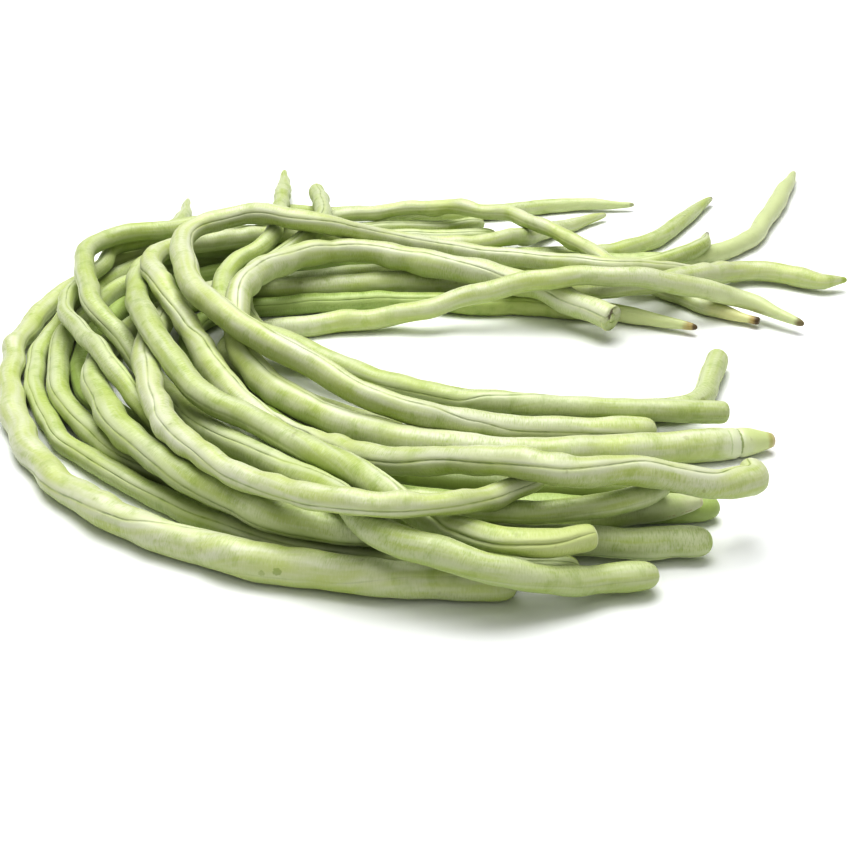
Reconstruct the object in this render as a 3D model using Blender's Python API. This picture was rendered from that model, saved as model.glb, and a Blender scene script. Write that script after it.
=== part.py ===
"""A bunch of yardlong beans lying on a surface, bent round in a C, each pod one solid.

Millimetres inside, metres in the meshes. +Z is up, the C opens towards +X and the near arm lies at -Y.
"""
import math

import bmesh
import bpy
import numpy as np

GAP = 0.38          # air left between two pods
STEP = 11.0         # distance between two rings of a pod
SIDES = 8           # corners of a ring
SINK = 0.2          # how far the round of a pod would sink below the surface it lies on
FLAT = 0.5          # corners lower than this are pressed flat onto the surface
RIDGE = 0.35        # height of the suture ridge
SWELL = 0.035       # how much the girth swells and narrows along a pod
SWELL_LENGTH = 74.0
ROUNDS = 420        # rounds of the rule that lays the pods on each other
EASING = 0.74       # share of the rounds in which the pods still sink and keep to their routes
WEIGHT = 0.12       # how far a pod sinks in a round
HOLD = 0.25         # how strongly a pod keeps to its route, seen from above
CROSSING = 0.34     # sine of the angle from which two pods count as crossing, and not as lying side by side

# Ends: how deep the middle of the end lies, then rings as (distance from the end, share of the girth).
ENDS = {
    "round": (0.0, ((0.3, 0.36), (1.4, 0.70), (3.6, 0.93), (8.0, 1.0))),
    "flat": (0.0, ((0.15, 0.62), (0.9, 0.88), (3.2, 0.97), (8.0, 1.0))),
    "point": (0.0, ((0.4, 0.22), (2.2, 0.37), (7.5, 0.50), (17.0, 0.70), (30.0, 0.90), (44.0, 1.0))),
    "beak": (0.0, ((0.4, 0.24), (2.2, 0.36), (6.5, 0.60), (14.0, 0.90), (22.0, 1.0))),
    "stem": (0.0, ((0.1, 0.40), (0.9, 0.48), (4.5, 0.50), (9.0, 0.66), (16.0, 0.90), (25.0, 1.0))),
    "cut": (2.6, ((2.2, 0.36), (0.2, 0.60), (0.1, 0.90), (0.9, 1.0), (8.0, 1.0))),
}

# Each pod: radius near, in the middle and far; shape of the near and the far end; where the suture lies
# round the pod at both ends, in degrees from the top; colour; and its route from the near end to the far
# end, as (x, y, height of the pod's middle).
PODS = {
    "outer_pod": ((5.6, 4.2, 3.5), ("round", "stem"), (40, -50), (0.50, 0.62, 0.26), [
        (27, -92, 5), (-7, -92, 6), (-39, -88, 6), (-72, -77, 6), (-104, -56, 6), (-127, -27, 5),
        (-144, 13, 5), (-154, 60, 5), (-147, 109, 4), (-128, 143, 4), (-97, 162, 4), (-58, 174, 4),
        (-25, 176, 8), (2, 176, 11), (34, 164, 13), (52, 146, 14), (66, 130, 13), (79, 111, 12),
        (90, 109, 6), (100, 105, 4), (115, 89, 4), (133, 77, 4)]),
    "second_pod": ((4.2, 3.7, 3.6), ("round", "round"), (-30, 30), (0.42, 0.56, 0.20), [
        (44, -88, 6), (16, -86, 6), (-16, -83, 6), (-40, -78, 6), (-60, -68, 6), (-84, -51, 5),
        (-109, -30, 5), (-125, -11, 4), (-136, 8, 4), (-144, 34, 4), (-145, 60, 4), (-139, 92, 4),
        (-129, 124, 4), (-112, 143, 4), (-88, 159, 4), (-57, 172, 4), (-25, 178, 4), (2, 179, 4),
        (27, 184, 4)]),
    "third_pod": ((4.6, 4.2, 3.8), ("stem", "round"), (60, 35), (0.45, 0.58, 0.24), [
        (84, -65, 12), (67, -69, 12), (46, -71, 9), (14, -70, 5), (-17, -68, 5), (-48, -58, 5),
        (-75, -44, 4), (-97, -29, 4), (-116, -10, 6), (-127, 10, 7), (-134, 35, 7), (-137, 68, 6),
        (-130, 102, 4), (-112, 126, 4), (-86, 145, 4), (-56, 158, 4), (-25, 163, 4), (7, 164, 4),
        (33, 165, 4)]),
    "fourth_pod": ((4.2, 4.1, 4.0), ("round", "point"), (80, 20), (0.36, 0.50, 0.15), [
        (91, -58, 4), (72, -60, 4), (42, -59, 4), (8, -57, 4), (-27, -49, 4), (-57, -38, 4),
        (-81, -24, 4), (-103, -6, 4), (-118, 12, 4), (-128, 39, 4), (-128, 67, 4), (-118, 94, 4),
        (-99, 116, 4), (-75, 129, 4), (-50, 136, 4), (-11, 136, 4), (24, 137, 4), (54, 138, 4),
        (81, 138, 4), (103, 138, 4), (121, 143, 4), (143, 157, 4), (163, 193, 4), (189, 252, 4)]),
    "fifth_pod": ((4.7, 4.9, 3.8), ("round", "beak"), (-20, -50), (0.50, 0.62, 0.27), [
        (85, -79, 5), (57, -80, 5), (28, -79, 5), (-1, -84, 6), (-22, -86, 9), (-43, -78, 11),
        (-65, -64, 13), (-87, -43, 14), (-105, -18, 14), (-117, 10, 13), (-121, 46, 8),
        (-111, 75, 6), (-92, 98, 5), (-73, 106, 5), (-53, 114, 5), (-36, 120, 5), (-11, 125, 5),
        (15, 127, 5), (45, 126, 5), (75, 123, 5), (99, 124, 5), (119, 136, 5), (125, 150, 5)]),
    "thin_pod": ((3.6, 3.5, 3.2), ("round", "point"), (10, -30), (0.44, 0.56, 0.24), [
        (72, -68, 21), (57, -77, 19), (39, -79, 16), (19, -79, 13), (-7, -77, 12), (-35, -60, 9),
        (-62, -38, 8), (-81, -25, 11), (-92, -14, 16), (-105, 3, 19), (-125, 35, 18), (-138, 63, 16),
        (-140, 90, 13), (-135, 112, 12), (-133, 133, 12), (-122, 143, 11), (-112, 159, 10),
        (-115, 212, 4)]),
    "under_pod": ((4.3, 4.1, 3.6), ("round", "point"), (-60, 30), (0.47, 0.60, 0.25), [
        (66, -93, 5), (49, -97, 6), (32, -102, 10), (15, -105, 15), (-1, -100, 18), (-15, -92, 18),
        (-31, -68, 18), (-51, -48, 16), (-72, -23, 13), (-90, 9, 8), (-106, 33, 10), (-123, 51, 20),
        (-135, 85, 21), (-139, 115, 19), (-129, 131, 17), (-111, 142, 14), (-88, 160, 10),
        (-57, 183, 5), (-26, 190, 4), (2, 192, 4), (36, 197, 4), (65, 206, 4), (101, 207, 4)]),
    "seam_pod": ((4.1, 4.5, 3.8), ("flat", "point"), (20, 60), (0.42, 0.56, 0.20), [
        (47, -93, 15), (32, -98, 16), (18, -97, 16), (0, -90, 18), (-14, -80, 19), (-33, -62, 17),
        (-55, -41, 15), (-75, -22, 18), (-89, 0, 24), (-102, 33, 25), (-112, 72, 19),
        (-116, 106, 16), (-107, 127, 14), (-84, 137, 11), (-55, 147, 6), (-20, 148, 4), (7, 143, 4),
        (37, 138, 4), (77, 142, 4), (101, 156, 4), (122, 187, 4), (140, 215, 4)]),
    "over_pod": ((3.6, 5.0, 4.4), ("round", "beak"), (50, -20), (0.50, 0.62, 0.27), [
        (35, -70, 22), (22, -79, 22), (7, -93, 27), (-10, -96, 28), (-26, -92, 28), (-48, -76, 24),
        (-67, -59, 24), (-82, -38, 23), (-91, -15, 24), (-99, 21, 17), (-99, 58, 10), (-90, 80, 6),
        (-72, 94, 5), (-47, 98, 5), (-10, 106, 5), (23, 106, 5), (56, 99, 7), (74, 86, 13),
        (91, 91, 13), (115, 109, 9), (134, 122, 5), (151, 121, 5), (166, 112, 5), (177, 114, 5)]),
    "long_pod": ((4.5, 4.9, 3.7), ("round", "point"), (25, -30), (0.47, 0.60, 0.23), [
        (98, -59, 22), (101, -63, 22), (95, -70, 22), (80, -73, 24), (62, -74, 28), (39, -80, 31),
        (16, -71, 30), (-8, -56, 22), (-29, -37, 16), (-50, -18, 13), (-69, 5, 16), (-87, 42, 18),
        (-103, 72, 22), (-110, 93, 22), (-104, 115, 20), (-87, 127, 18), (-59, 143, 14),
        (-24, 139, 12), (6, 131, 12), (33, 138, 12), (55, 169, 5), (86, 194, 4)]),
    "thick_pod": ((5.2, 5.2, 5.2), ("stem", "cut"), (70, 10), (0.54, 0.66, 0.28), [
        (117, -17, 9), (93, -22, 10), (66, -25, 10), (37, -26, 10), (8, -22, 10), (-17, -16, 11),
        (-41, -4, 12), (-61, 17, 13), (-69, 36, 17), (-69, 54, 22), (-63, 79, 21), (-47, 102, 20),
        (-23, 111, 18), (6, 102, 16), (35, 92, 14), (54, 81, 11), (73, 64, 10)]),
    "top_pod": ((4.4, 4.8, 4.0), ("round", "round"), (30, -10), (0.48, 0.61, 0.25), [
        (78, -14, 5), (55, -15, 5), (29, -16, 6), (7, -17, 9), (-16, -14, 14), (-40, 4, 20),
        (-62, 20, 24), (-80, 41, 28), (-93, 73, 30), (-95, 106, 30), (-77, 120, 31), (-47, 112, 30),
        (-15, 125, 19), (19, 127, 13), (52, 116, 14), (71, 100, 18), (93, 106, 14), (116, 117, 6)]),
    "inner_pod": ((3.8, 4.2, 3.4), ("flat", "point"), (-10, 40), (0.36, 0.50, 0.16), [
        (104, -4, 6), (81, -5, 7), (54, -3, 7), (26, -1, 7), (2, 5, 7), (-23, 19, 7), (-50, 40, 9),
        (-68, 53, 12), (-77, 76, 13), (-75, 99, 16), (-64, 108, 21), (-61, 127, 23), (-64, 164, 17),
        (-69, 218, 7), (-72, 255, 4)]),
    "upturned_pod": ((4.0, 4.2, 3.9), ("flat", "round"), (50, 0), (0.42, 0.56, 0.22), [
        (110, 43, 5), (95, 7, 5), (76, 2, 4), (48, 3, 4), (16, 6, 4), (-9, 15, 4), (-35, 34, 5),
        (-56, 44, 8), (-68, 51, 12), (-74, 75, 12), (-68, 97, 14), (-56, 107, 20), (-47, 121, 22),
        (-45, 148, 20), (-49, 180, 11), (-52, 205, 6)]),
    "crossing_pod": ((4.1, 4.1, 4.0), ("round", "point"), (0, 60), (0.46, 0.58, 0.25), [
        (-8, -12, 4), (-40, 6, 4), (-62, 27, 4), (-75, 46, 4), (-70, 62, 4), (-49, 70, 4),
        (-26, 75, 5), (-2, 75, 9), (22, 79, 15), (45, 78, 20), (65, 80, 21), (81, 79, 21),
        (101, 83, 16), (127, 86, 8), (149, 71, 4)]),
    "shaded_pod": ((4.1, 4.1, 4.1), ("round", "point"), (90, 40), (0.36, 0.50, 0.15), [
        (86, -49, 4), (65, -49, 4), (43, -48, 4), (17, -45, 4), (-8, -39, 4), (-31, -25, 4),
        (-53, -5, 4), (-76, 24, 4), (-90, 52, 5), (-91, 80, 5), (-75, 93, 4), (-55, 94, 4),
        (-31, 96, 4), (-6, 96, 4), (10, 93, 4), (43, 90, 4), (78, 83, 4), (107, 70, 4)]),
}


def even_points(route):
    """Points STEP apart on a smooth curve through the route."""
    known = np.array(route, float)
    known = np.vstack([2 * known[0] - known[1], known, 2 * known[-1] - known[-2]])
    curve = []
    for i in range(1, len(known) - 2):
        a, b, c, d = known[i - 1:i + 3]
        times = np.cumsum([0.0] + [math.sqrt(np.linalg.norm(q - p)) for p, q in ((a, b), (b, c), (c, d))])

        def mix(p, q, low, high, at):
            return ((times[high] - at) * p + (at - times[low]) * q) / (times[high] - times[low])

        for at in np.linspace(times[1], times[2], 24, endpoint=False):
            p, q, r = mix(a, b, 0, 1, at), mix(b, c, 1, 2, at), mix(c, d, 2, 3, at)
            curve.append(mix(mix(p, q, 0, 2, at), mix(q, r, 1, 3, at), 1, 2, at))
    curve = np.array(curve + [known[-2]])
    run = np.concatenate([[0.0], np.cumsum(np.linalg.norm(np.diff(curve, axis=0), axis=1))])
    stops = np.linspace(0, run[-1], round(run[-1] / STEP) + 1)
    return np.stack([np.interp(stops, run, curve[:, axis]) for axis in range(3)], 1)


def width_at(distance, length, radii, ends):
    """Radius of a pod at a distance from its near end."""
    near, middle, far = radii
    width = np.interp(distance / length, (0, 0.13, 0.38, 0.75, 1), (near, near, middle, far, far))
    width *= 1 + SWELL * math.sin(2 * math.pi * distance / SWELL_LENGTH + near + far)
    for kind, gap in ((ends[0], distance), (ends[1], length - distance)):
        rings = sorted(ENDS[kind][1])
        width *= np.interp(gap, [r[0] for r in rings], [r[1] for r in rings])
    return width


def averaged(move, times):
    """A displacement along a pod, averaged with its neighbours."""
    for _ in range(times):
        inner = 0.25 * move[:-2] + 0.5 * move[1:-1] + 0.25 * move[2:]
        move = np.vstack([(move[:1] + move[1:2]) / 2, inner, (move[-1:] + move[-2:-1]) / 2])
    return move


def nearest(p, d, q, e):
    """Where the lines p + s d and q + t e come nearest each other, and the way from the second to the first."""
    apart = p - q
    a, b, c = (d * d).sum(1), (d * e).sum(1), (e * e).sum(1)
    f, g = (d * apart).sum(1), (e * apart).sum(1)
    spread = np.maximum(a * c - b * b, 1e-9)
    s = np.clip((b * g - c * f) / spread, 0, 1)
    t = np.clip((b * s + g) / c, 0, 1)
    s = np.clip((b * t - f) / a, 0, 1)
    return s, t, apart + d * s[:, None] - e * t[:, None]


def lay_down(paths, widths):
    """Lets the pods sink onto the surface and each other, and pushes them apart where they meet."""
    starts = np.cumsum([0] + [len(path) for path in paths])
    spans = list(zip(starts[:-1], starts[1:]))
    route, width = np.vstack(paths), np.concatenate(widths)
    owner = np.concatenate([np.full(len(path), k) for k, path in enumerate(paths)])
    links = np.concatenate([np.arange(a, b - 1) for a, b in spans])
    place = route.copy()
    for turn in range(ROUNDS):
        sinking = turn < ROUNDS * EASING
        if turn % 8 == 0:
            middle = (place[links] + place[links + 1]) / 2
            far = ((middle[:, None] - middle[None]) ** 2).sum(2)
            i, j = np.nonzero(np.triu(far < (STEP + 18) ** 2, 1))
            other = owner[links[i]] != owner[links[j]]
            i, j = links[i[other]], links[j[other]]
        if sinking:
            place[:, 2] -= WEIGHT
        along_i, along_j = place[i + 1] - place[i], place[j + 1] - place[j]
        s, t, way = nearest(place[i], along_i, place[j], along_j)
        need = width[i] * (1 - s) + width[i + 1] * s + width[j] * (1 - t) + width[j + 1] * t + GAP
        # The routes tell which of two crossing pods lies on top.
        across = np.abs(along_i[:, 0] * along_j[:, 1] - along_i[:, 1] * along_j[:, 0])
        across /= np.linalg.norm(along_i[:, :2], axis=1) * np.linalg.norm(along_j[:, :2], axis=1)
        above = np.sign(route[i, 2] * (1 - s) + route[i + 1, 2] * s
                        - route[j, 2] * (1 - t) - route[j + 1, 2] * t + 1e-9)
        beside = np.linalg.norm(way[:, :2], axis=1)
        reach = np.linalg.norm(way, axis=1)
        over = (across > CROSSING) & (beside < need * 0.75)
        lift = np.sqrt(np.maximum(need ** 2 - beside ** 2, 0)) - way[:, 2] * above
        short = np.where(over, np.minimum(lift, 3), need - reach)
        push = way / np.maximum(reach, 1e-6)[:, None]
        push[over] = np.stack([0 * above, 0 * above, above], 1)[over]
        meet = short > 0
        move, count = np.zeros_like(place), np.zeros(len(place))
        push = 0.5 * (short[:, None] * push)[meet]
        parts = ((i, 1 - s, 1), (i + 1, s, 1), (j, 1 - t, -1), (j + 1, t, -1))
        for index, share, sign in parts:
            np.add.at(move, index[meet], sign * push * share[meet][:, None])
            np.add.at(count, index[meet], share[meet])
        place += move / np.maximum(count, 1)[:, None] * 1.3
        shift = place - route
        if sinking:
            shift[:, :2] *= 1 - HOLD
        for a, b in spans:
            if turn < ROUNDS * 0.9:
                shift[a:b] = averaged(shift[a:b], 2 if sinking else 1)
        place = route + shift
        place[:, 2] = np.maximum(place[:, 2], width - SINK)
    return [place[a:b] for a, b in spans]


def ring_list(length, count, ends):
    """Distances of the rings from the near end, with the finer ones at both ends."""
    step = length / (count - 1)
    near = [ring[0] for ring in ENDS[ends[0]][1] if ring[0] < step - 2]
    far = [length - ring[0] for ring in reversed(ENDS[ends[1]][1]) if ring[0] < step - 2]
    return near + [step * k for k in range(1, count - 1)] + far


def pod_mesh(name, path, radii, ends, seam):
    """One pod as a closed tube of rings, in metres."""
    run = np.concatenate([[0.0], np.cumsum(np.linalg.norm(np.diff(path, axis=0), axis=1))])
    length = run[-1]

    def at(distance):
        return np.array([np.interp(distance, run, path[:, axis]) for axis in range(3)])

    def axes(distance):
        ahead = at(min(distance + 4, length)) - at(max(distance - 4, 0))
        ahead /= np.linalg.norm(ahead)
        side = np.cross(ahead, (0, 0, 1))
        side /= np.linalg.norm(side)
        return side, np.cross(side, ahead)

    mesh = bmesh.new()
    rings = []
    stops = ring_list(length, len(path), ends)
    near, far = ENDS[ends[0]], ENDS[ends[1]]
    exact = dict(near[1]) | {length - gap: share for gap, share in far[1]}
    for stop in stops:
        side, up = axes(stop)
        width = width_at(stop, length, radii, ends)
        if stop in exact and (stop < 3 or length - stop < 3):
            width = exact[stop] * width_at(min(max(stop, 30), length - 30), length, radii, ("round",) * 2)
        turn = math.radians(np.interp(stop, (0, length), seam))
        ring = []
        for corner in range(SIDES):
            angle = turn + 2 * math.pi * corner / SIDES
            reach = width + (RIDGE if corner == 0 and width > 2.5 else 0)
            spot = at(stop) + reach * (math.sin(angle) * side + math.cos(angle) * up)
            ring.append(spot)
        rings.append(ring)
    poles = at(near[0]), at(length - far[0])
    spots = np.array([poles[0]] + [spot for ring in rings for spot in ring] + [poles[1]])
    spots[:, 2] = np.where(spots[:, 2] < FLAT, 0, spots[:, 2])
    middle = np.round((spots.min(0) + spots.max(0)) / 2)
    middle[2] = 0
    corners = [mesh.verts.new((spot - middle) / 1000) for spot in spots]
    loops = [corners[1 + SIDES * k:1 + SIDES * (k + 1)] for k in range(len(rings))]
    for k in range(SIDES):
        n = (k + 1) % SIDES
        mesh.faces.new((corners[0], loops[0][k], loops[0][n]))
        mesh.faces.new((corners[-1], loops[-1][n], loops[-1][k]))
        for low, high in zip(loops[:-1], loops[1:]):
            mesh.faces.new((low[k], high[k], high[n], low[n]))
    bmesh.ops.triangulate(mesh, faces=mesh.faces)
    bmesh.ops.recalc_face_normals(mesh, faces=mesh.faces)
    data = bpy.data.meshes.new(name)
    mesh.to_mesh(data)
    mesh.free()
    return data, middle / 1000


def skin(name, colour):
    """Smooth green skin with a soft sheen."""
    material = bpy.data.materials.new(name)
    material.use_nodes = True
    shader = material.node_tree.nodes["Principled BSDF"]
    shader.inputs["Base Color"].default_value = (*colour, 1)
    shader.inputs["Roughness"].default_value = 0.42
    shader.inputs["Metallic"].default_value = 0
    return material


def build():
    for thing in list(bpy.data.objects):
        bpy.data.objects.remove(thing, do_unlink=True)
    paths, widths = [], []
    for radii, ends, seam, colour, route in PODS.values():
        path = even_points(route)
        length = STEP * (len(path) - 1)
        stops = np.clip(np.linspace(0, length, len(path)), 3, length - 3)
        paths.append(path)
        widths.append(np.array([width_at(stop, length, radii, ends) for stop in stops]) + 0.1)
    laid = lay_down(paths, widths)
    made = []
    for (name, (radii, ends, seam, colour, route)), path in zip(PODS.items(), laid):
        data, middle = pod_mesh(name, path, radii, ends, seam)
        pod = bpy.data.objects.new(name, data)
        pod.location = middle
        data.materials.append(skin("skin_" + name, colour))
        data.shade_smooth()
        bpy.context.scene.collection.objects.link(pod)
        made.append(pod)
    # The origin goes to the middle of the bunch, on the surface it lies on.
    corners = np.array([[*(v.co + pod.location)] for pod in made for v in pod.data.vertices])
    shift = (corners.min(0) + corners.max(0)) / 2
    for pod in made:
        pod.location.x -= shift[0]
        pod.location.y -= shift[1]
    print("moved by", shift[:2].round(5), "size", (corners.max(0) - corners.min(0)).round(5))


build()
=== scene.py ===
# A bunch of yardlong beans on a pale table. Every pod is grown along the middle line of its CAD solid.
import math
import random

import bmesh
import bpy
import numpy as np
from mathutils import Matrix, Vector, noise
from mathutils.geometry import interpolate_bezier


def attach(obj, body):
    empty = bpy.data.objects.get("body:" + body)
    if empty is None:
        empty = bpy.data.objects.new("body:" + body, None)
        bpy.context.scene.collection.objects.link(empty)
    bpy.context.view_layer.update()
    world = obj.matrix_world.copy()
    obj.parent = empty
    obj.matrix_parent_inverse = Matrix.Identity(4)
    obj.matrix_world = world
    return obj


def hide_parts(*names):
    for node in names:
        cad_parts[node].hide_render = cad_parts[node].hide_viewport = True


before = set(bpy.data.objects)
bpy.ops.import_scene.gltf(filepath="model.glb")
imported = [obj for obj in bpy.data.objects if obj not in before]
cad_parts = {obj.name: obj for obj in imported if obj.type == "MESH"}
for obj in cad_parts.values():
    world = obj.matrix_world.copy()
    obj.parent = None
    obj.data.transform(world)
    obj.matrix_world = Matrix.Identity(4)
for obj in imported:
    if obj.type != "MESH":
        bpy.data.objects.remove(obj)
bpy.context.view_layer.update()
print("frame loaded:", len(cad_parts), "pods")

mm = 0.001
perRadian = 57.3                          # degrees

# camera

cameraSettings = {
    "lens": 55.906,                       # mm
    "place": (-0.01492, -0.47060, 0.2300),
    "tilt": 60.0,                         # degrees from straight down
    "frame": 36,                          # mm
}

cameraData = bpy.data.cameras.new("tableCamera")
cameraData.lens = cameraSettings["lens"]
cameraData.sensor_width = cameraSettings["frame"]
cameraData.clip_start = 0.01
cameraData.dof.use_dof = False
camera = bpy.data.objects.new("tableCamera", cameraData)
camera.location = cameraSettings["place"]
camera.rotation_euler = (math.radians(cameraSettings["tilt"]), 0, 0)
bpy.context.scene.collection.objects.link(camera)
bpy.context.scene.camera = camera


# shader maths as expressions

class Dial:                               # one value of a material
    def __init__(self, finish, socket):
        self.finish = finish
        self.socket = socket

    def math(self, operation, *values):
        return self.finish.node("ShaderNodeMath", {"operation": operation}, dict(enumerate(values)))

    def __add__(self, other):
        return self.math("ADD", self, other)

    def __sub__(self, other):
        return self.math("SUBTRACT", self, other)

    def __mul__(self, other):
        return self.math("MULTIPLY", self, other)

    def __truediv__(self, other):
        return self.math("DIVIDE", self, other)

    def __rsub__(self, other):
        return self.math("SUBTRACT", other, self)

    def __abs__(self):
        return self.math("ABSOLUTE", self)

    __radd__ = __add__
    __rmul__ = __mul__


class Finish:                             # one material and its nodes
    def __init__(self, name):
        self.material = bpy.data.materials.new(name)
        self.material.use_nodes = True
        self.tree = self.material.node_tree
        self.shader = self.tree.nodes["Principled BSDF"]

    def node(self, kind, settings=None, values=None, output=0):
        made = self.tree.nodes.new(kind)
        for name, value in (settings or {}).items():
            if name == "stops":
                while len(made.color_ramp.elements) < len(value):
                    made.color_ramp.elements.new(0.5)
                for stop, (position, tone) in zip(made.color_ramp.elements, value):
                    stop.position = position
                    stop.color = (*tone, 1) if len(tone) == 3 else tone
            else:
                setattr(made, name, value)
        for name, value in (values or {}).items():
            if isinstance(value, Dial):
                self.tree.links.new(value.socket, made.inputs[name])
            else:
                made.inputs[name].default_value = value
        return Dial(self, made.outputs[output])

    def set(self, **values):
        for name, value in values.items():
            socket = self.shader.inputs[name.replace("_", " ")]
            if isinstance(value, Dial):
                self.tree.links.new(value.socket, socket)
            else:
                socket.default_value = value

    def step(self, value, low, high, bottom=0.0, top=1.0):        # smooth rise from low to high
        return self.node("ShaderNodeMapRange", {"interpolation_type": "SMOOTHSTEP"},
                         {"Value": value, "From Min": low, "From Max": high, "To Min": bottom, "To Max": top})

    def blend(self, share, one, other):   # one colour to another as share goes from 0 to 1
        one = (*one, 1) if isinstance(one, tuple) else one
        other = (*other, 1) if isinstance(other, tuple) else other
        return self.node("ShaderNodeMix", {"data_type": "RGBA"}, {0: share, 6: one, 7: other}, 2)

    def spots(self, place, scale, detail=2.0, rough=0.5):         # soft noise about 0.5
        return self.node("ShaderNodeTexNoise", {"noise_dimensions": "3D"},
                         {"Vector": place, "Scale": scale, "Detail": detail, "Roughness": rough})


# how a pod's solid lies

def podRings(nodeName):                   # middle and radius of each ring of the solid, from the near end
    work = bmesh.new()
    work.from_mesh(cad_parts[nodeName].data)
    bmesh.ops.remove_doubles(work, verts=work.verts, dist=1e-6)
    work.verts.index_update()
    for start in sorted(work.verts, key=lambda v: v.co.y):
        if len(start.link_edges) != 8:
            continue
        rings, seen, last = [[start]], {start}, [start]
        while last:
            reached = {e.other_vert(u) for u in last for e in u.link_edges} - seen
            last = sorted(reached, key=lambda v: v.index)      # the same order, and so the same sums, each run
            seen.update(last)
            if last:
                rings.append(last)
            if len(last) not in (0, 1, 8):
                break
        if len(seen) == len(work.verts) and len(rings[-1]) == 1:
            break
    middles = [sum((v.co for v in ring), Vector()) / len(ring) for ring in rings]
    radii = [sum((v.co - middle).length for v in ring) / len(ring) for ring, middle in zip(rings, middles)]
    work.free()
    return np.array(middles), np.array(radii)


def smoothLine(points, step):             # even points on a smooth curve through the ring middles
    points = [Vector(p) for p in points]
    line = []
    for i in range(len(points) - 1):
        a, b = points[i], points[i + 1]
        before, after = points[max(i - 1, 0)], points[min(i + 2, len(points) - 1)]
        reach = (b - a).length
        out = (b - before).normalized() * reach / 3
        back = (after - a).normalized() * reach / 3
        line += interpolate_bezier(a, a + out, b - back, b, 12)[:-1]
    line = np.array([list(p) for p in line] + [list(points[-1])])
    run = np.concatenate([[0], np.cumsum(np.linalg.norm(np.diff(line, axis=0), axis=1))])
    stops = np.linspace(0, run[-1], int(round(run[-1] / step)) + 1)
    return np.stack([np.interp(stops, run, line[:, k]) for k in range(3)], 1), stops


# shapes of the ends: (distance from the end in mm, share of the girth)
endShapes = {
    "round": ((0, 0), (0.1, 0.18), (0.35, 0.37), (0.8, 0.55), (1.5, 0.71), (2.4, 0.83), (3.6, 0.92),
              (5.4, 0.98), (8, 1)),
    "flat": ((0, 0), (0.02, 0.3), (0.1, 0.52), (0.3, 0.68), (0.7, 0.82), (1.3, 0.91), (2.2, 0.95), (3.6, 0.98),
             (8, 1)),
    "point": ((0, 0), (0.1, 0.12), (0.4, 0.2), (1.0, 0.28), (2.2, 0.36), (4.5, 0.43), (7.5, 0.50), (12, 0.6),
              (17, 0.70), (23, 0.81), (30, 0.90), (37, 0.96), (44, 1)),
    "beak": ((0, 0), (0.1, 0.13), (0.4, 0.23), (1.0, 0.3), (2.2, 0.36), (4.2, 0.47), (6.5, 0.60), (10, 0.77),
             (14, 0.90), (18, 0.97), (22, 1)),
    "stem": ((0, 0), (0.02, 0.2), (0.12, 0.36), (0.5, 0.45), (1.2, 0.48), (2.6, 0.47), (4.5, 0.50), (6.5, 0.56),
             (9, 0.66), (12, 0.79), (16, 0.90), (20, 0.96), (25, 1)),
    "scar": ((0, 0), (0.02, 0.2), (0.1, 0.34), (0.5, 0.44), (1.4, 0.50), (2.6, 0.56), (4.5, 0.66), (7, 0.78),
             (9.5, 0.88), (11.5, 0.93), (12.4, 0.945), (13.0, 0.955), (13.6, 0.965), (14.4, 0.98), (16, 0.99),
             (16.8, 0.995), (17.6, 1), (19, 1), (25, 1)),
    "papery": ((0, 0), (0.02, 0.14), (0.1, 0.26), (0.5, 0.36), (1.4, 0.45), (3, 0.56), (6, 0.70), (9, 0.82),
               (13, 0.93), (18, 1), (25, 1)),
    "cut": ((2.6, 0), (2.5, 0.25), (2.0, 0.4), (1.0, 0.5), (0.3, 0.58), (0.02, 0.7), (0.0, 0.84), (0.2, 0.94),
            (0.8, 1.0), (3, 1.0), (8, 1)),
}

# columns round a pod, in degrees from its main seam: close together at both seams
columns = [0, 4, 8, 13, 19, 27, 38, 51, 65, 80, 95, 110, 125, 138, 150, 160, 167, 173, 177, 180]
columns += [360 - c for c in reversed(columns[:-1])]


def rowStops(length, ends, step):         # distances of the rows from the near end, in mm, and their end shares
    near, far = endShapes[ends[0]], endShapes[ends[1]]
    nearReach = near[-1][0]
    farReach = far[-1][0]
    rows = [(gap, share) for gap, share in near]
    count = int(round((length - nearReach - farReach) / step))
    rows += [(nearReach + (length - nearReach - farReach) * k / count, 1.0) for k in range(1, count)]
    rows += [(length - gap, share) for gap, share in reversed(far)]
    full = []
    for (a, p), (b, q) in zip(rows[:-1], rows[1:]):       # long gaps of a tapered end get rows in between
        pieces = max(1, int(math.ceil(abs(b - a) / (step * 1.3))))
        full += [(a + (b - a) * k / pieces, p + (q - p) * k / pieces) for k in range(pieces)]
    return full + [rows[-1]]


def seamTurn(seam, share):                # smooth turn of the seam between the given stops, in degrees
    for (a, low), (b, high) in zip(seam[:-1], seam[1:]):
        if share <= b:
            t = (share - a) / (b - a)
            return low + (high - low) * t * t * (3 - 2 * t)
    return seam[-1][1]


# seeds under the skin: two distances from the ends in mm, then ranges for each seed's own share
seedSettings = {
    "first": 10, "last": 12,
    "size": (0.35, 1.5),                  # of the pod's "lumps"
    "lean": (-0.9, 0.9),                  # to one side of the pod
    "wide": (0.42, 0.6),                  # of the pod's "lumpStep"
    "gap": (0.7, 1.4),                    # the same, to the next seed
    "sink": 0.42,                         # of "lumps": how far the skin falls in between
}

# shape of every pod; distances are in mm
shapeSettings = {
    "waves": 4, "waveLength": (22, 60), "waveSize": (0.5, 1),             # of the middle line's sway
    "phase": (0, 6.3), "turn": 6.283,     # radians
    "fade": 14,                           # sway and seams fade out this far from the ends
    "dentRate": 300, "waverRate": 110,    # noise: more is finer
}

# a seam's lips: mm from its middle, their width, the depth of the groove between them and its width
seamLips = {"main": (1.0, 0.8, 1.2, 0.34), "back": (0.8, 0.6, 1.6, 0.36)}


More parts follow.
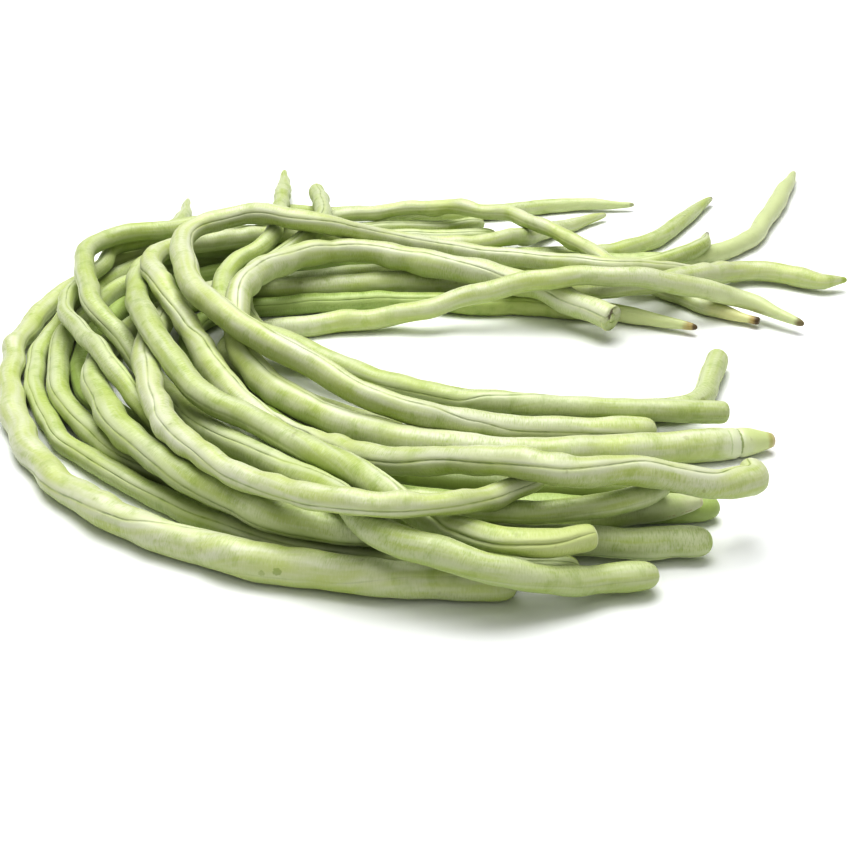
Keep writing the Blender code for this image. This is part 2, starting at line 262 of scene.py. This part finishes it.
def lips(distance, side):                 # height of the lips and the groove at a distance from the seam
    middle, wide, depth, narrow = seamLips[side]
    return math.exp(-((distance - middle) / wide) ** 2) - depth * math.exp(-(distance / narrow) ** 2)


# what a pod has unless its own dictionary says otherwise; lengths are in mm
usualPod = {
    "lineStep": 1.5,                      # between the points of its middle line
    "rowStep": 1.9,                       # between the rows of its skin
    "girth": 1.0,                         # share of the solid's radius
    "oval": 0.02,
    "ridge": 0.09,                        # height of the lips beside the main seam
    "backRidge": 0.04,
    "sway": 0.30,                         # how far its middle line wanders
    "dents": 0.13,
    "waviness": 0.30,
    "strokes": 0.34,                      # strength of the short deep green strokes
    "under": 0.42,                        # and of the painted shade, a deeper green on the sides that face down
    "thread": 0.46,                       # and of the seam's thread
    "flecks": 0.30,
    "wrinkle": 0.42,
    "pinches": (),                        # (distance, depth, reach); a distance below 0 counts from the far end
    "near": (), "far": (),                # (reach, colour, strength) of the colours at the ends
    "marks": (),                          # (turn from the seam, distance, width, length, colour, strength)
}


def growPod(nodeName, look):
    look = {**usualPod, **look}
    dice = random.Random(nodeName)
    middles, radii = podRings(nodeName)
    lineStep = look["lineStep"] * mm
    line, run = smoothLine(middles, lineStep)
    length = run[-1] / mm
    ends = look["ends"]
    taper = [endShapes[kind][-1][0] for kind in ends]
    ringRun = np.concatenate([[0], np.cumsum(np.linalg.norm(np.diff(middles, axis=0), axis=1))]) / mm
    body = (ringRun > taper[0] - 1) & (ringRun < length - taper[1] + 1)
    rows = rowStops(length, ends, look["rowStep"])

    # seeds: where they lie along the pod and how far each one swells it
    seeds = []
    at = seedSettings["first"] + dice.random() * seedSettings["first"]
    while at < length - seedSettings["last"]:
        size = look["lumps"] * dice.uniform(*seedSettings["size"])
        lean = dice.uniform(*seedSettings["lean"])
        wide = dice.uniform(*seedSettings["wide"])
        seeds.append((at, size, lean, wide))
        at += look["lumpStep"] * dice.uniform(*seedSettings["gap"])
    waves = [tuple(dice.uniform(*shapeSettings[part]) for part in ("waveLength", "phase", "waveSize"))
             for _ in range(shapeSettings["waves"])]

    work = bmesh.new()
    uvLayer = work.loops.layers.uv.new("pod")
    bmesh.ops.create_grid(work, x_segments=len(columns) - 1, y_segments=len(rows) - 1, size=0.5, calc_uvs=True)
    work.verts.ensure_lookup_table()
    width = len(columns)
    plump = work.verts.layers.float.new("plump")
    offset = Vector([dice.uniform(-9, 9) for _ in range(3)])
    for r, (stop, share) in enumerate(rows):
        place = min(max(stop * mm, 0), run[-1])
        k = place / lineStep * (len(run) - 1) / (run[-1] / lineStep)
        low = min(int(k), len(line) - 2)
        centre = Vector(line[low] * (1 - (k - low)) + line[low + 1] * (k - low))
        behind, before = line[max(low - 2, 0)], line[min(low + 3, len(line) - 1)]
        ahead = Vector(before - behind).normalized()
        side = ahead.cross(Vector((0, 0, 1))).normalized()
        up = side.cross(ahead)
        girth = float(np.interp(stop, ringRun[body], radii[body] / mm))
        turn = math.radians(seamTurn(look["seam"], stop / length))
        fade = shapeSettings["fade"]
        inside = max(0.0, min(1.0, stop / fade, (length - stop) / fade))   # 0 at the ends and 1 in between
        sway = [sum(size * math.sin(stop / wave * shapeSettings["turn"] + phase + axis * 2.1)
                    for wave, phase, size in waves) for axis in (0, 1)]
        centre += (side * sway[0] + up * sway[1] * 0.5) * look["sway"] * inside * mm
        bulge, tilt, nearest = -seedSettings["sink"] * look["lumps"], 0.0, 0.0
        for seedAt, seedSize, lean, wide in seeds:
            off = (stop - seedAt) / (look["lumpStep"] * wide)
            if abs(off) < 1:
                hill = (1 - off * off) ** 2
                bulge += seedSize * hill
                tilt += seedSize * lean * hill
                nearest = max(nearest, hill)
        pinch = 0.0
        for pinchAt, depth, reach in look["pinches"]:
            pinchOff = (stop - (pinchAt if pinchAt >= 0 else length + pinchAt)) / reach
            pinch += depth * math.exp(-pinchOff * pinchOff)
        for c, degrees in enumerate(columns):
            angle = math.radians(degrees)
            fromSeam = min(degrees, 360 - degrees) / perRadian * girth * share      # mm round the pod
            fromBack = (180 - min(degrees, 360 - degrees)) / perRadian * girth * share
            flank = math.sin(angle) ** 2
            reach = girth * (look["girth"] + look["oval"] * math.cos(2 * angle))
            reach = reach + bulge * (0.35 + 0.65 * flank) - pinch
            reach += tilt * math.sin(angle) * 0.85
            seamHeight = look["ridge"] * lips(fromSeam, "main")
            backHeight = look["backRidge"] * lips(fromBack, "back")
            reach += (seamHeight + backHeight) * min(1, share) * inside
            direction = math.sin(angle + turn) * side + math.cos(angle + turn) * up
            spot = centre + direction * (reach * share * mm)
            rough = noise.noise(spot * shapeSettings["dentRate"] + offset) * look["dents"]
            rough = rough + noise.noise(spot * shapeSettings["waverRate"] + offset) * look["waviness"]
            spot += direction * (rough * min(1, share * 1.2) * mm)
            if spot.z < 0:
                spot.z = 0
            corner = work.verts[r * width + c]
            corner.co = spot
            corner[plump] = nearest
    around = [degrees / 360 for degrees in columns]       # the map: once round the pod, and along it
    for face in work.faces:
        for loop in face.loops:
            index = loop.vert.index
            loop[uvLayer].uv = (around[index % width], min(max(rows[index // width][0] / length, 0), 1))
    bmesh.ops.remove_doubles(work, verts=work.verts, dist=2e-6)
    bmesh.ops.recalc_face_normals(work, faces=work.faces)
    data = bpy.data.meshes.new(nodeName + "_skin")
    work.to_mesh(data)
    work.free()
    data.shade_smooth()
    pod = bpy.data.objects.new(nodeName + "_skin", data)
    bpy.context.scene.collection.objects.link(pod)
    data.materials.append(podSkin(nodeName, look, length))
    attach(pod, "root")
    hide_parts(nodeName)
    print("grown:", nodeName, round(length), "mm,", len(data.polygons), "faces")
    return pod


# skin of a pod; its distances are in mm

skinSettings = {
    "round": 28.5,                        # once round a pod
    "turn": 6.2832,                       # and in radians
    "strokeRate": (2.3, 2.5),             # strokes round a pod and along it: more is finer
    "streakRate": (2.0, 0.05),
    "cloudScale": 34.0, "blotchScale": 190.0, "fineScale": 1100.0,
    "fleckScale": 230.0, "waverScale": 260.0,
    "light": 0.26, "blotches": 0.26, "plump": 0.20, "specks": 0.14,       # strengths
    "band": 0.28, "backThread": 0.35,
    "seamTone": (0.18, 0.23, 0.10),
    "backTone": (0.20, 0.26, 0.10),
    "fleckTone": (0.24, 0.25, 0.06),
    "bump": 0.0006,                       # m
    "gloss": (0.38, 0.52),                # least and most roughness
    "specular": 0.65, "sheen": 0.10, "sheenRoughness": 0.5,
}


def podSkin(nodeName, look, length):
    podRound = skinSettings["round"]
    skin = Finish("skin_" + nodeName)
    place = skin.node("ShaderNodeUVMap", {"uv_map": "pod"})
    around = skin.node("ShaderNodeSeparateXYZ", values={"Vector": place})
    along = Dial(skin, around.socket.node.outputs[1])
    alongMm = along * length
    halfway = abs(around - 0.5)
    fromSeam = (0.5 - halfway) * podRound
    fromBack = halfway * podRound
    spot = skin.node("ShaderNodeTexCoord", output=3)
    sides = around.math("SINE", around * skinSettings["turn"])
    fronts = around.math("COSINE", around * skinSettings["turn"])
    turns, rate = skinSettings["strokeRate"]
    across = skin.node("ShaderNodeCombineXYZ", values={"X": sides * turns, "Y": fronts * turns,
                                                      "Z": alongMm * rate + look["grain"]})
    strokes = skin.spots(across, 1.0, 2.0, 0.6)                  # short strokes across the pod
    turns, rate = skinSettings["streakRate"]
    lengthwise = skin.node("ShaderNodeCombineXYZ", values={"X": sides * turns, "Y": fronts * turns,
                                                          "Z": alongMm * rate + look["grain"]})
    streaks = skin.spots(lengthwise, 1.0, 2.0, 0.5)              # long soft streaks
    fine = skin.spots(spot, skinSettings["fineScale"], 2.0)
    cloud = skin.spots(spot, skinSettings["cloudScale"], 2.0)
    blotch = skin.spots(spot, skinSettings["blotchScale"], 3.0)
    plump = skin.node("ShaderNodeAttribute", {"attribute_name": "plump"}, output=2)

    pale = skin.step(cloud * 0.45 + streaks * 0.55, 0.36, 0.62, 0.12, 0.92)
    green = skin.blend(pale, look["green"], look["pale"])
    flank = skin.step(fromSeam, 0.6, 2.6) * skin.step(fromSeam, 8.5, 12.5, 1.0, 0.4)
    patchy = skin.step(blotch * 0.4 + cloud * 0.6, 0.40, 0.60, 0.25, 1.0)
    dark = skin.step(strokes, 0.46, 0.66) * flank * patchy
    green = skin.blend(dark * look["strokes"], green, look["deep"])
    light = skin.step(strokes, 0.30, 0.46, 1.0, 0.0) * flank
    green = skin.blend(light * skinSettings["light"], green, look["edge"])
    green = skin.blend(skin.step(blotch, 0.52, 0.68) * skinSettings["blotches"], green, look["deep"])
    # painted light: paler where the seeds swell the pod, greener between them
    green = skin.blend(plump * skinSettings["plump"], green, look["pale"])
    green = skin.blend(skin.step(fine, 0.60, 0.72) * skinSettings["specks"], green, look["edge"])

    # painted shade: the sides that face down are a deeper green
    outwards = skin.node("ShaderNodeTexCoord", output=1)
    facing = skin.node("ShaderNodeSeparateXYZ", values={"Vector": outwards}, output=2)
    under = skin.step(facing + (cloud - 0.5) * 0.5, -0.55, 0.50, 1.0, 0.0)
    green = skin.blend(under * look["under"], green, look["deep"])

    # seams: a thin grey-green thread that comes and goes, with a paler band on either side
    waver = (skin.spots(spot, skinSettings["waverScale"], 1.0) - 0.5) * 0.30
    band = skin.step(fromSeam, 0.2, 0.6) * skin.step(fromSeam, 1.2, 2.6, 1.0, 0.0)
    green = skin.blend(band * skinSettings["band"], green, look["edge"])
    worn = skin.step(streaks * 0.5 + blotch * 0.5, 0.40, 0.58, 0.25, 1.0)
    thread = skin.step(fromSeam + waver, 0.05, 0.34, 1.0, 0.0) * worn
    green = skin.blend(thread * look["thread"], green, skinSettings["seamTone"])
    backThread = skin.step(fromBack + waver, 0.04, 0.26, 1.0, 0.0) * worn
    backThread = backThread * look["thread"] * skinSettings["backThread"]
    green = skin.blend(backThread, green, skinSettings["backTone"])

    # colours at the ends
    for end, gap in (("near", alongMm), ("far", length - alongMm)):
        for reach, tone, strength in look[end]:
            share = skin.step(gap + (blotch - 0.5) * reach * 0.8, reach * 0.45, reach, strength, 0.0)
            green = skin.blend(share, green, tone)

    # a few brown flecks, then each pod's own marks, some of them painted shade in creases
    flecks = skin.step(skin.spots(spot, skinSettings["fleckScale"], 1.0), 0.74, 0.80)
    flecks = flecks * skin.step(cloud, 0.4, 0.6)
    green = skin.blend(flecks * look["flecks"], green, skinSettings["fleckTone"])
    for markAround, markAlong, wide, long, tone, strength in look["marks"]:
        markAlong = markAlong if markAlong >= 0 else length + markAlong      # below 0: from the far end
        dx = (0.5 - abs(abs(around - markAround) - 0.5)) * (podRound / wide)
        dy = abs(alongMm - markAlong) / long
        mark = skin.step(dx * dx + dy * dy + (blotch - 0.5) * 5.0 + (fine - 0.5) * 3.0, 0.2, 1.2, 1.0, 0.0)
        green = skin.blend(mark * strength, green, tone)

    height = strokes * 0.45 * flank + fine * 0.10 + blotch * 0.40 + streaks * 0.25 - thread * 0.5
    bump = skin.node("ShaderNodeBump", {}, {"Strength": look["wrinkle"], "Distance": skinSettings["bump"],
                                            "Height": height})
    skin.set(Base_Color=green, Normal=bump, Roughness=skin.step(strokes, 0.3, 0.7, *skinSettings["gloss"]))
    skin.set(Specular_IOR_Level=skinSettings["specular"], Sheen_Weight=skinSettings["sheen"],
             Sheen_Roughness=skinSettings["sheenRoughness"])
    return skin.material


# the greens of pale, middling and dark pods; the dark greens, for pods that lie in shade, are partly the pods'
# own colour and partly painted shade
paleSkin = {"pale": (0.68, 0.705, 0.52), "green": (0.56, 0.63, 0.23), "deep": (0.34, 0.46, 0.03),
            "edge": (0.75, 0.76, 0.66)}
midSkin = {"pale": (0.62, 0.665, 0.43), "green": (0.49, 0.575, 0.17), "deep": (0.27, 0.39, 0.02),
           "edge": (0.70, 0.73, 0.58)}
darkSkin = {"pale": (0.48, 0.58, 0.23), "green": (0.36, 0.47, 0.10), "deep": (0.19, 0.30, 0.02),
            "edge": (0.58, 0.65, 0.35)}

# dry and cut places
brown = (0.10, 0.06, 0.02)
tan = (0.42, 0.30, 0.10)
straw = (0.74, 0.74, 0.38)
scar = (0.66, 0.58, 0.36)

# the pods: "lumps" is how far the seeds swell a pod and "lumpStep" their distance, both in mm; "grain" shifts
# its pattern; "seam" lists where the main seam runs, as (share of the length, degrees from the top)
outerPod = {**paleSkin, "ends": ("round", "stem"), "lumps": 0.46, "lumpStep": 15, "grain": 1.0, "girth": 0.97,
            "seam": [(0, 145), (0.04, 140), (0.08, 92), (0.11, 85), (0.15, 10), (0.18, -45), (0.23, -70),
                     (0.27, -105), (1, -100)],
            "marks": [(0.56, 67.5, 1.0, 1.2, (0.28, 0.37, 0.07), 0.55),
                      (0.53, 72, 0.7, 0.9, (0.34, 0.42, 0.11), 0.5)],
            "far": [(26, straw, 0.8), (5, tan, 0.9), (2.5, brown, 0.95)]}
growPod("outer_pod", outerPod)

secondPod = {**midSkin, "ends": ("round", "round"), "lumps": 0.34, "lumpStep": 16, "grain": 2.0,
             "seam": [(0, -30), (0.25, -50), (0.45, -30), (1, 30)]}
growPod("second_pod", secondPod)

thirdPod = {**midSkin, "ends": ("papery", "round"), "lumps": 0.34, "lumpStep": 16, "grain": 3.0,
            "seam": [(0, 60), (0.2, -60), (0.45, -40), (1, 35)],
            "near": [(34, (0.64, 0.70, 0.42), 0.55), (9, (0.78, 0.79, 0.58), 0.6),
                     (1.8, (0.66, 0.60, 0.38), 0.5)],
            "marks": [(0.55, 10, 0.5, 8, (0.42, 0.30, 0.13), 0.55)]}
growPod("third_pod", thirdPod)

fourthPod = {**darkSkin, "ends": ("round", "point"), "lumps": 0.22, "lumpStep": 15, "grain": 4.0,
             "seam": [(0, 80), (0.3, 100), (0.6, 280), (1, 280)],
             "near": [(22, (0.52, 0.62, 0.26), 0.6)], "far": [(260, (0.68, 0.73, 0.44), 0.85), (3, tan, 0.5)]}
growPod("fourth_pod", fourthPod)

fifthPod = {**midSkin, "ends": ("round", "beak"), "lumps": 0.52, "lumpStep": 15, "grain": 5.0,
            "seam": [(0, -120), (0.2, -110), (0.34, -55), (0.39, -45), (0.5, -20), (1, 0)],
            "near": [(2.4, (0.44, 0.55, 0.16), 0.75)],
            "marks": [(0.62, 150, 1.2, 2.2, (0.30, 0.26, 0.10), 0.7)],
            "far": [(8, (0.44, 0.45, 0.30), 0.8), (4, (0.22, 0.21, 0.17), 0.9)]}
growPod("fifth_pod", fifthPod)

thinPod = {**midSkin, "ends": ("round", "point"), "lumps": 0.15, "lumpStep": 14, "grain": 6.0,
           "seam": [(0, 100), (0.5, 20), (1, -30)]}
growPod("thin_pod", thinPod)

underPod = {**midSkin, "ends": ("round", "point"), "lumps": 0.26, "lumpStep": 16, "grain": 7.0,
            "seam": [(0, 110), (0.3, -50), (0.6, -70), (1, -70)],
            "far": [(60, (0.68, 0.74, 0.44), 0.5), (3, (0.36, 0.38, 0.22), 0.7)]}
growPod("under_pod", underPod)

seamPod = {**midSkin, "ends": ("flat", "point"), "lumps": 0.22, "lumpStep": 16, "grain": 8.0, "ridge": 0.36,
           "seam": [(0, -40), (0.03, -60), (0.05, -75), (0.07, -65), (0.08, -40), (0.11, 20), (0.18, 100),
                    (0.35, 100), (0.6, 280), (1, 280)],
           "near": [(40, (0.58, 0.64, 0.23), 0.6), (1.2, (0.78, 0.80, 0.56), 0.8)], "far": [(3, brown, 0.9)]}
growPod("seam_pod", seamPod)

overPod = {**paleSkin, "ends": ("round", "beak"), "lumps": 0.52, "lumpStep": 14, "grain": 9.0,
           "seam": [(0, -60), (0.15, -95), (0.19, -75), (0.22, -55), (0.26, -40), (0.28, -15), (0.31, 0),
                    (0.4, 20), (0.6, -60), (1, -80)],
           "far": [(4, (0.4, 0.5, 0.1), 0.9)]}
growPod("over_pod", overPod)

longPod = {**paleSkin, "ends": ("round", "point"), "lumps": 0.42, "lumpStep": 13, "grain": 10.0,
           "ridge": 0.13, "thread": 0.58,
           "seam": [(0, 25), (0.02, 20), (0.05, -18), (0.08, -22), (0.11, -40), (0.13, -55), (0.16, -75),
                    (0.19, -62), (0.22, -70), (0.25, -68), (0.27, -45), (0.30, -15), (0.35, 22), (0.38, 18),
                    (0.42, 10), (0.45, -30), (0.50, -50), (0.55, -82), (1, -60)]}
growPod("long_pod", longPod)

thickPod = {**paleSkin, "ends": ("scar", "cut"), "lumps": 0.62, "lumpStep": 16, "grain": 11.0,
            "seam": [(0, 60), (0.45, 0), (0.53, 10), (0.6, 24), (0.66, 39), (0.72, 40), (0.81, 26), (0.88, 60),
                     (0.94, 65), (1, 70)],
            "near": [(28, (0.78, 0.82, 0.62), 0.6), (14, (0.63, 0.71, 0.30), 0.7),
                     (3.4, (0.52, 0.50, 0.20), 0.85), (1.5, scar, 0.9)],
            "far": [(2.2, straw, 0.8)], "pinches": [(13.2, 0.55, 0.6), (17.2, 0.20, 0.7), (-128, 0.4, 1.6)],
            # the first two marks are painted shade in the creases at the pinches; the last is the dark cut end
            "marks": [(0.72, 13.3, 4.6, 0.42, (0.26, 0.33, 0.08), 0.7),
                      (0.70, 17.3, 4.5, 0.35, (0.44, 0.55, 0.20), 0.45),
                      (0, -1.2, 2.4, 1.5, (0.16, 0.13, 0.07), 0.85)]}
growPod("thick_pod", thickPod)

topPod = {**paleSkin, "ends": ("round", "round"), "lumps": 0.34, "lumpStep": 17, "grain": 12.0,
          "seam": [(0, -80), (0.10, -75), (0.13, -55), (0.16, -20), (0.25, 0), (0.40, 40), (0.49, 56),
                   (0.55, 72), (0.60, 66), (0.65, 50), (0.71, 42), (1, 30)]}
growPod("top_pod", topPod)

innerPod = {**midSkin, "strokes": 0.18, "ends": ("flat", "point"), "lumps": 0.30, "lumpStep": 16, "grain": 13.0,
            "seam": [(0, 25), (0.14, 25), (0.20, -30), (0.23, -72), (0.3, -80), (1, -60)]}
growPod("inner_pod", innerPod)

upturnedPod = {**midSkin, "ends": ("flat", "round"), "lumps": 0.28, "lumpStep": 15, "grain": 14.0,
               "seam": [(0, 50), (1, 0)]}
growPod("upturned_pod", upturnedPod)

crossingPod = {**paleSkin, "ends": ("round", "point"), "lumps": 0.26, "lumpStep": 16, "grain": 15.0,
               "seam": [(0, -70), (1, -70)],
               "far": [(60, (0.70, 0.76, 0.46), 0.6), (4, (0.18, 0.13, 0.05), 0.9)]}
growPod("crossing_pod", crossingPod)

# painted shade: the near 170 mm of this pod are a near-black green, where it lies in the dark under the others
shadedPod = {**darkSkin, "ends": ("round", "point"), "lumps": 0.22, "lumpStep": 16, "grain": 16.0,
             "seam": [(0, 90), (1, 40)], "near": [(170, (0.15, 0.19, 0.03), 0.74)],
             "far": [(130, (0.55, 0.62, 0.24), 0.8), (70, (0.66, 0.71, 0.40), 0.8), (7, tan, 0.8),
                     (2.2, brown, 0.9)]}
growPod("shaded_pod", shadedPod)


# table and light

tableSettings = {"reach": 3.0, "tone": (0.94, 0.945, 0.96), "otherTone": (0.96, 0.965, 0.98), "grain": 40.0}

work = bmesh.new()
bmesh.ops.create_grid(work, x_segments=4, y_segments=4, size=tableSettings["reach"])
floorData = bpy.data.meshes.new("tableTop")
work.to_mesh(floorData)
work.free()
floor = bpy.data.objects.new("tableTop", floorData)
bpy.context.scene.collection.objects.link(floor)
paper = Finish("tablePaper")
paperGrain = paper.spots(paper.node("ShaderNodeTexCoord", output=3), tableSettings["grain"])
paper.set(Base_Color=paper.blend(paperGrain, tableSettings["tone"], tableSettings["otherTone"]), Roughness=0.9)
floorData.materials.append(paper.material)

lightSettings = {
    "overhead": {"place": (-0.12, 0.28, 1.20), "aim": (0, 0.02, 0), "size": 1.1, "power": 21.2},
    "front": {"place": (0.10, -0.70, 1.00), "aim": (0, 0.06, 0), "size": 1.1, "power": 3.2},
}
skySettings = {"tone": (1, 1, 1, 1), "strength": 0.275, "gamma": 0.72}

for name, light in lightSettings.items():
    lamp = bpy.data.lights.new(name, "AREA")
    lamp.shape = "SQUARE"
    lamp.size = light["size"]
    lamp.energy = light["power"]
    box = bpy.data.objects.new(name, lamp)
    box.location = light["place"]
    box.rotation_euler = (Vector(light["aim"]) - Vector(light["place"])).to_track_quat("-Z", "Y").to_euler()
    bpy.context.scene.collection.objects.link(box)

sky = bpy.data.worlds.new("studio")
sky.use_nodes = True
sky.node_tree.nodes["Background"].inputs["Color"].default_value = skySettings["tone"]
sky.node_tree.nodes["Background"].inputs["Strength"].default_value = skySettings["strength"]
bpy.context.scene.world = sky
bpy.context.scene.view_settings.view_transform = "Standard"
bpy.context.scene.view_settings.gamma = skySettings["gamma"]
print("table and light ready")
